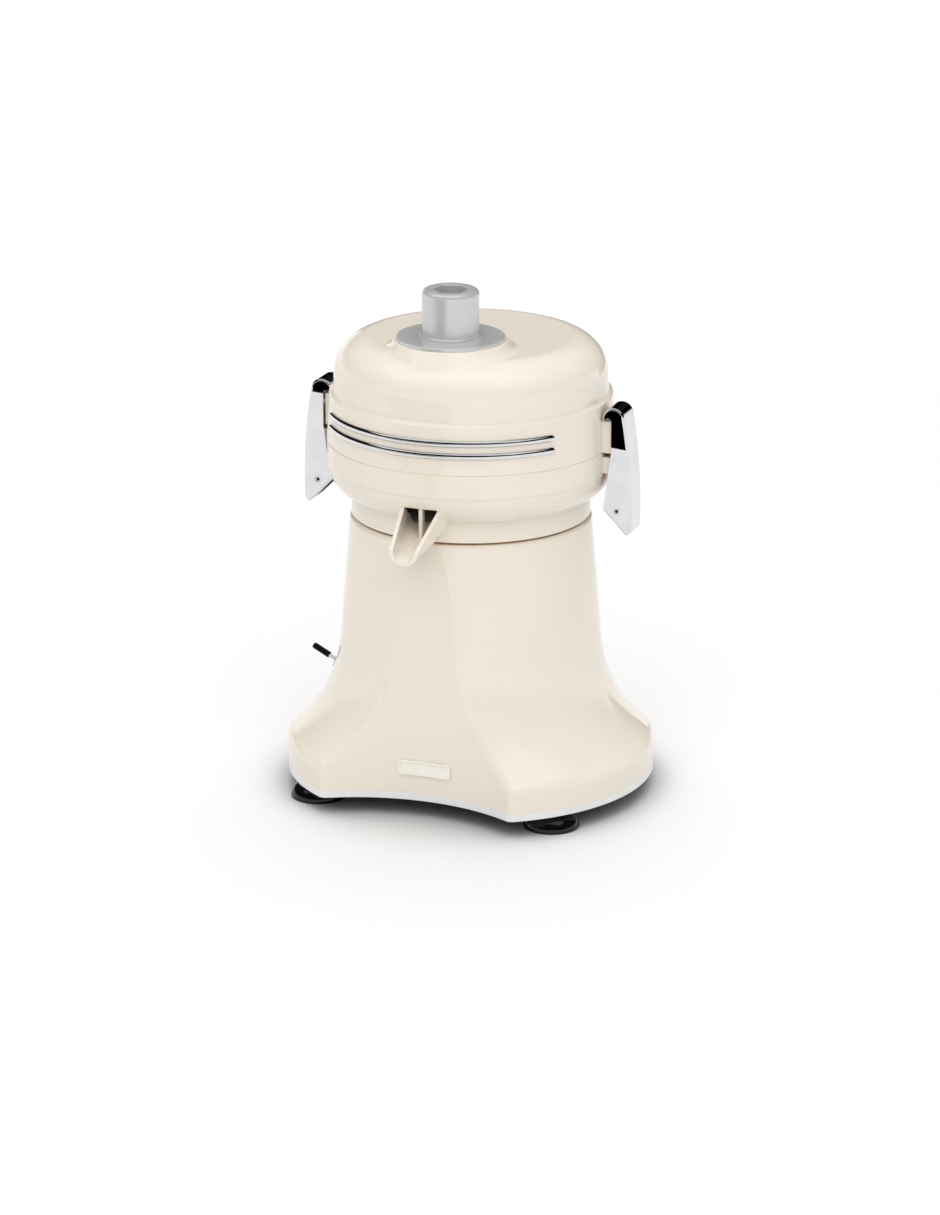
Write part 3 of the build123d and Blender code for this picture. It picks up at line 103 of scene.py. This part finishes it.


# gloss enamel on the castings and the badge: soft mottling, orange peel, and painted brown shade in the nooks
enamel = {
    "cream": {"pale": (0.835, 0.768, 0.672), "deep": (0.82, 0.75, 0.642)},
    "ivory": {"pale": (0.9, 0.87, 0.79), "deep": (0.87, 0.83, 0.74)},
    "mottle": {"scale": 9, "detail": 2},
    "mottleEdges": (0.35, 0.65),
    "wipe": {"scale": 26, "detail": 4},
    "rough": (0.07, 0.11),
    "peel": {"scale": 330, "detail": 2},
    "peelDepth": 0.00001,
    # painted shade in the nooks: how far it reaches, and its tones from closed to open
    "paintedShadeReach": 0.03,
    "paintedWarmShade": [(0.0, (0.6, 0.34, 0.16)), (0.12, (0.86, 0.72, 0.54)), (0.4, grey(1))],
}


def makeEnamel(name, paint):
    mat, tree, shader, place = startMaterial(name)
    mottle = addNoise(tree, place, **enamel["mottle"])
    coat = addTones(tree, mottle, enamel["mottleEdges"], paint["deep"], paint["pale"])
    # painted shade: the enamel turns darker and browner where surfaces meet
    coat = addPaintedShade(tree, coat, enamel["paintedShadeReach"], enamel["paintedWarmShade"])
    tree.links.new(coat, shader.inputs["Base Color"])
    wipe = addNoise(tree, place, **enamel["wipe"])
    tree.links.new(addRange(tree, wipe, *enamel["rough"]), shader.inputs["Roughness"])
    addBump(tree, shader, addNoise(tree, place, **enamel["peel"]), enamel["peelDepth"])
    return mat


# bright plating on the latches and the trim
chrome = {
    "tint": (0.75, 0.75, 0.755),
    "clouded": (0.71, 0.71, 0.72),
    "cloud": {"scale": 60, "detail": 3},
    "cloudEdges": (0.4, 0.6),
    "wipe": {"scale": 140, "detail": 4, "roughness": 0.6, "stretch": (1, 1, 0.15)},
    "rough": (0.004, 0.014),
}


def makeChrome():
    mat, tree, shader, place = startMaterial("brightChrome")
    cloud = addNoise(tree, place, **chrome["cloud"])
    plating = addTones(tree, cloud, chrome["cloudEdges"], chrome["clouded"], chrome["tint"])
    tree.links.new(plating, shader.inputs["Base Color"])
    shader.inputs["Metallic"].default_value = 1
    wipe = addNoise(tree, place, **chrome["wipe"])
    tree.links.new(addRange(tree, wipe, *chrome["rough"]), shader.inputs["Roughness"])
    return mat


# satin finish of the turned feed tube, with painted grey shade where surfaces meet
satin = {
    "light": grey(0.64),
    "dark": grey(0.61),
    "metallic": 0.35,
    "shine": 0.3,
    "blast": {"scale": 900, "detail": 3},
    "blastEdges": (0.3, 0.7),
    "blastDepth": 0.00001,
    "wipe": {"scale": 70, "detail": 3},
    "rough": (0.22, 0.28),
    "turning": {"scale": 40, "detail": 2, "stretch": (0.2, 0.2, 60)},
    "turningDepth": 0.00002,
    "turningStrength": 0.5,
    # painted shade where surfaces meet: its reach and its tones
    "paintedShadeReach": 0.015,
    "paintedGreyShade": [(0.0, grey(0.75)), (0.5, grey(1))],
}


def makeSatin():
    mat, tree, shader, place = startMaterial("satinGrey")
    blast = addNoise(tree, place, **satin["blast"])
    tone = addTones(tree, blast, satin["blastEdges"], satin["dark"], satin["light"])
    # painted shade: the satin colour greys where surfaces meet
    tone = addPaintedShade(tree, tone, satin["paintedShadeReach"], satin["paintedGreyShade"])
    tree.links.new(tone, shader.inputs["Base Color"])
    shader.inputs["Metallic"].default_value = satin["metallic"]
    shader.inputs["Specular IOR Level"].default_value = satin["shine"]
    wipe = addNoise(tree, place, **satin["wipe"])
    tree.links.new(addRange(tree, wipe, *satin["rough"]), shader.inputs["Roughness"])
    turning = addNoise(tree, place, **satin["turning"])
    fine = addBump(tree, shader, blast, satin["blastDepth"])
    addBump(tree, shader, turning, satin["turningDepth"], satin["turningStrength"], fine)
    return mat


# plain metals: one grain sets the tone, the roughness and a fine bump
grainNoise = {"detail": 4, "roughness": 0.6}
grainEdges = (0.3, 0.7)
metalGrainDepth = 0.00003
metals = {
    "bareSteel": {
        "light": grey(0.78), "dark": (0.66, 0.66, 0.67), "metallic": 1, "rough": (0.22, 0.36),
        "grain": 160, "stretch": (1, 1, 0.3),
    },
    "platedSheet": {
        "light": grey(0.86), "dark": grey(0.8), "metallic": 0.3, "rough": (0.3, 0.42),
        "grain": 160, "stretch": (1, 1, 0.3),
    },
    "strainerSteel": {
        "light": (0.74, 0.74, 0.75), "dark": (0.64, 0.64, 0.65), "metallic": 1, "rough": (0.16, 0.3),
        "grain": 120, "stretch": None,
    },
    "castAluminium": {
        "light": (0.66, 0.66, 0.67), "dark": (0.52, 0.52, 0.53), "metallic": 1, "rough": (0.4, 0.6),
        "grain": 420, "stretch": None,
    },
    "coreSheet": {
        "light": (0.26, 0.26, 0.28), "dark": (0.17, 0.17, 0.18), "metallic": 0.8, "rough": (0.4, 0.6),
        "grain": 300, "stretch": (1, 1, 12),
    },
    "varnishedCopper": {
        "light": (0.62, 0.30, 0.14), "dark": (0.42, 0.18, 0.08), "metallic": 0.9, "rough": (0.25, 0.4),
        "grain": 500, "stretch": (1, 1, 6),
    },
    "switchNickel": {
        "light": (0.84, 0.84, 0.83), "dark": (0.76, 0.76, 0.75), "metallic": 0.5, "rough": (0.14, 0.28),
        "grain": 300, "stretch": None,
    },
}


def makeMetal(name):
    look = metals[name]
    mat, tree, shader, place = startMaterial(name)
    grain = addNoise(tree, place, look["grain"], stretch=look["stretch"], **grainNoise)
    tone = addTones(tree, grain, grainEdges, look["dark"], look["light"])
    tree.links.new(tone, shader.inputs["Base Color"])
    shader.inputs["Metallic"].default_value = look["metallic"]
    tree.links.new(addRange(tree, grain, *look["rough"]), shader.inputs["Roughness"])
    addBump(tree, shader, grain, metalGrainDepth)
    return mat


# moulded rubber and plastic: a fine grain under broader wiped patches
wipeSpread = 6  # a wiped patch is this many grains across
mouldings = {
    "footRubber": {
        "light": grey(0.005), "dark": grey(0.003), "rough": (0.05, 0.09), "shine": 0.45,
        "grain": 500, "depth": 0.000004,
    },
    "gasketRubber": {
        "light": (0.36, 0.25, 0.13), "dark": (0.29, 0.19, 0.1), "rough": (0.5, 0.7), "shine": 0.5,
        "grain": 700, "depth": 0.00004,
    },
    "mattBlackPlastic": {
        "light": grey(0.04), "dark": grey(0.028), "rough": (0.45, 0.6), "shine": 0.5,
        "grain": 800, "depth": 0.00004,
    },
    "glossBlackSleeve": {
        "light": grey(0.004), "dark": grey(0.002), "rough": (0.1, 0.16), "shine": 0.15,
        "grain": 600, "depth": 0.00001,
    },
}


def makeMoulding(name):
    look = mouldings[name]
    mat, tree, shader, place = startMaterial(name)
    grain = addNoise(tree, place, look["grain"], **grainNoise)
    tone = addTones(tree, grain, grainEdges, look["dark"], look["light"])
    tree.links.new(tone, shader.inputs["Base Color"])
    wipe = addNoise(tree, place, look["grain"] / wipeSpread)
    tree.links.new(addRange(tree, wipe, *look["rough"]), shader.inputs["Roughness"])
    addBump(tree, shader, grain, look["depth"])
    shader.inputs["Specular IOR Level"].default_value = look["shine"]
    return mat


# each slot of the record gets its finish, and the bottom plate one of its own
brightChrome = makeChrome()
finish = {
    "cream_paint": makeEnamel("creamEnamel", enamel["cream"]),
    "badge_ivory": makeEnamel("ivoryEnamel", enamel["ivory"]),
    "latch_chrome": brightChrome,
    "trim_chrome": brightChrome,
    "satin_metal": makeSatin(),
    "bare_steel": makeMetal("bareSteel"),
    "strainer_steel": makeMetal("strainerSteel"),
    "cast_aluminium": makeMetal("castAluminium"),
    "core_iron": makeMetal("coreSheet"),
    "winding_copper": makeMetal("varnishedCopper"),
    "switch_metal": makeMetal("switchNickel"),
    "foot_rubber": makeMoulding("footRubber"),
    "gasket_rubber": makeMoulding("gasketRubber"),
    "black_plastic": makeMoulding("mattBlackPlastic"),
    "sleeve_plastic": makeMoulding("glossBlackSleeve"),
}
for part in frame["record"]["subparts"]:
    nodes[part["node"]].material_slots[0].material = finish[part["material_slot"]]
nodes["bottom_plate"].material_slots[0].material = makeMetal("platedSheet")
print("finishes set")


# helpers for the studio
def addObject(name, data):
    made = bpy.data.objects.new(name, data)
    bpy.context.scene.collection.objects.link(made)
    return made


def addFlat(name, place, material):
    flat = bmesh.new()
    bmesh.ops.create_grid(flat, x_segments=1, y_segments=1, size=0.5)  # one metre each way
    bmesh.ops.transform(flat, verts=flat.verts, matrix=place)
    data = bpy.data.meshes.new(name)
    flat.to_mesh(data)
    flat.free()
    data.materials.append(material)
    return addObject(name, data)


def startSurface(name, shaderType, output):
    mat = bpy.data.materials.new(name)
    mat.use_nodes = True
    tree = mat.node_tree
    tree.nodes.remove(tree.nodes["Principled BSDF"])
    shader = tree.nodes.new(shaderType)
    tree.links.new(shader.outputs[output], tree.nodes["Material Output"].inputs["Surface"])
    return mat, tree, shader


# the camera, gloss and glass take the mix's second colour, and all other rays the first
def addSeenMix(tree, other):
    rays = tree.nodes.new("ShaderNodeLightPath")
    both = tree.nodes.new("ShaderNodeMath")
    every = tree.nodes.new("ShaderNodeMath")
    every.use_clamp = True
    tree.links.new(rays.outputs["Is Camera Ray"], both.inputs[0])
    tree.links.new(rays.outputs["Is Glossy Ray"], both.inputs[1])
    tree.links.new(both.outputs["Value"], every.inputs[0])
    tree.links.new(rays.outputs["Is Transmission Ray"], every.inputs[1])
    mix = tree.nodes.new("ShaderNodeMix")
    mix.data_type = "RGBA"
    mix.inputs["A"].default_value = (*grey(other), 1)
    tree.links.new(every.outputs["Value"], mix.inputs["Factor"])
    return mix


# unit vector from the object: azimuth 0 is the front and 90 the right
def bearing(azimuth, elevation):
    turn, lift = math.radians(azimuth), math.radians(elevation)
    return Vector((math.sin(turn) * math.cos(lift), -math.cos(turn) * math.cos(lift), math.sin(lift)))


# pale floor: white for the camera and in the bright metal alike, with a painted shadow round the object
floorLook = {
    "size": 40.0,
    "seen": 0.83,
    "bounce": 0.8,
    "paintedShadowReach": 0.14,
    "shadow": [(0.0, grey(0.19)), (0.5, grey(0.68)), (0.82, grey(1))],
}
floorMat, floorTree, floorShader = startSurface("paleFloor", "ShaderNodeBsdfDiffuse", "BSDF")
floorMix = addSeenMix(floorTree, floorLook["bounce"])
floorMix.inputs["B"].default_value = (*grey(floorLook["seen"]), 1)
# painted shadow: ambient occlusion darkens the floor's colour near the object
floorTone = addPaintedShade(floorTree, floorMix.outputs["Result"], floorLook["paintedShadowReach"], floorLook["shadow"])
floorTree.links.new(floorTone, floorShader.inputs["Color"])
floor = addFlat("studioFloor", Matrix.Diagonal((floorLook["size"], floorLook["size"], 1, 1)), floorMat)

# even light all round; the camera sees white, and the bright metal a white horizon under a dark ceiling
skyLook = {"fill": 0.62, "horizon": 1.0, "ceiling": 0.01, "horizonTop": 0.04, "ceilingStart": 0.16}
world = bpy.data.worlds.new("studio")
bpy.context.scene.world = world
world.use_nodes = True
skyTree = world.node_tree
skyCoords = skyTree.nodes.new("ShaderNodeTexCoord")
skySplit = skyTree.nodes.new("ShaderNodeSeparateXYZ")
skyTree.links.new(skyCoords.outputs["Generated"], skySplit.inputs["Vector"])
white = grey(skyLook["horizon"])
dark = grey(skyLook["ceiling"])
skyStops = [(0.0, white), (skyLook["horizonTop"], white), (skyLook["ceilingStart"], dark), (1.0, dark)]
skyShade = addRamp(skyTree, skySplit.outputs["Z"], skyStops)
skyRays = skyTree.nodes.new("ShaderNodeLightPath")
skyGlint = skyTree.nodes.new("ShaderNodeMix")
skyGlint.data_type = "RGBA"
skyGlint.inputs["B"].default_value = (*white, 1)
skyTree.links.new(skyRays.outputs["Is Camera Ray"], skyGlint.inputs["Factor"])
skyTree.links.new(skyShade, skyGlint.inputs["A"])
skyMix = addSeenMix(skyTree, skyLook["fill"])
skyTree.links.new(skyGlint.outputs["Result"], skyMix.inputs["B"])
skyTree.links.new(skyMix.outputs["Result"], skyTree.nodes["Background"].inputs["Color"])

# two broad soft lamps give the castings their form
lamps = {
    "topSun": {"azimuth": 200, "elevation": 68, "spread": 60, "strength": 1.1},
    "frontSun": {"azimuth": 20, "elevation": 50, "spread": 60, "strength": 1.2},
}
for name, lamp in lamps.items():
    sunData = bpy.data.lights.new(name, "SUN")
    sunData.angle = math.radians(lamp["spread"])
    sunData.energy = lamp["strength"]
    sun = addObject(name, sunData)
    sun.rotation_euler = bearing(lamp["azimuth"], lamp["elevation"]).to_track_quat("Z", "Y").to_euler()
    sun.visible_glossy = False

# cards that show only in gloss: a softbox overhead, and dark ones where the table ends and at the back
softbox = {"place": (0, -0.45, 1.9), "aim": (0, 0, 0.35), "width": 3.6, "height": 1.4, "glow": 0.9}
backPanel = {"place": (-0.2, 3.2, 0.8), "aim": (-0.2, 0, 0.8), "width": 3.2, "height": 1.6}
tableEnd = {"corner": (-0.2057, -0.9853), "angle": 14, "left": -6, "right": 0.05, "depth": 5, "rise": 0.002}


def makeCardMaterial(name, strength):
    mat, _, glow = startSurface(name, "ShaderNodeEmission", "Emission")
    glow.inputs["Strength"].default_value = strength
    return mat


def addCard(name, place, material):
    card = addFlat(name, place, material)
    card.visible_camera = False
    card.visible_diffuse = False
    card.visible_transmission = False
    card.visible_shadow = False


def panelPlace(look):
    facing = (Vector(look["aim"]) - Vector(look["place"])).to_track_quat("Z", "Y").to_matrix().to_4x4()
    return Matrix.Translation(look["place"]) @ facing @ Matrix.Diagonal((look["width"], look["height"], 1, 1))


def tableEndPlace(look):
    middle = ((look["left"] + look["right"]) / 2, -look["depth"] / 2, look["rise"])
    turned = Matrix.Translation((*look["corner"], 0)) @ Matrix.Rotation(math.radians(look["angle"]), 4, "Z")
    sized = Matrix.Diagonal((look["right"] - look["left"], look["depth"], 1, 1))
    return turned @ Matrix.Translation(middle) @ sized


darkCard = makeCardMaterial("darkCard", 0.0)
glowCard = makeCardMaterial("softboxGlow", softbox["glow"])
addCard("overheadSoftbox", panelPlace(softbox), glowCard)
addCard("frontDarkCard", tableEndPlace(tableEnd), darkCard)
addCard("backDarkPanel", panelPlace(backPanel), darkCard)
print("studio lit")

# camera of the photograph, far off with a long lens
shot = {
    "azimuth": 20.8,
    "elevation": 17.8,
    "distance": 4.2,
    "target": (-0.0008, -0.0003, 0.147),
    "lens": 152.6,
    "sensor": 36,
    "clipEnd": 100,
}
camData = bpy.data.cameras.new("photoCamera")
camData.sensor_fit = "AUTO"
camData.sensor_width = shot["sensor"]
camData.lens = shot["lens"]
camData.clip_end = shot["clipEnd"]
cam = addObject("photoCamera", camData)
away = bearing(shot["azimuth"], shot["elevation"])
cam.location = Vector(shot["target"]) + away * shot["distance"]
cam.rotation_euler = away.to_track_quat("Z", "Y").to_euler()
bpy.context.scene.camera = cam
bpy.context.scene.view_settings.view_transform = "Standard"
print("camera set")
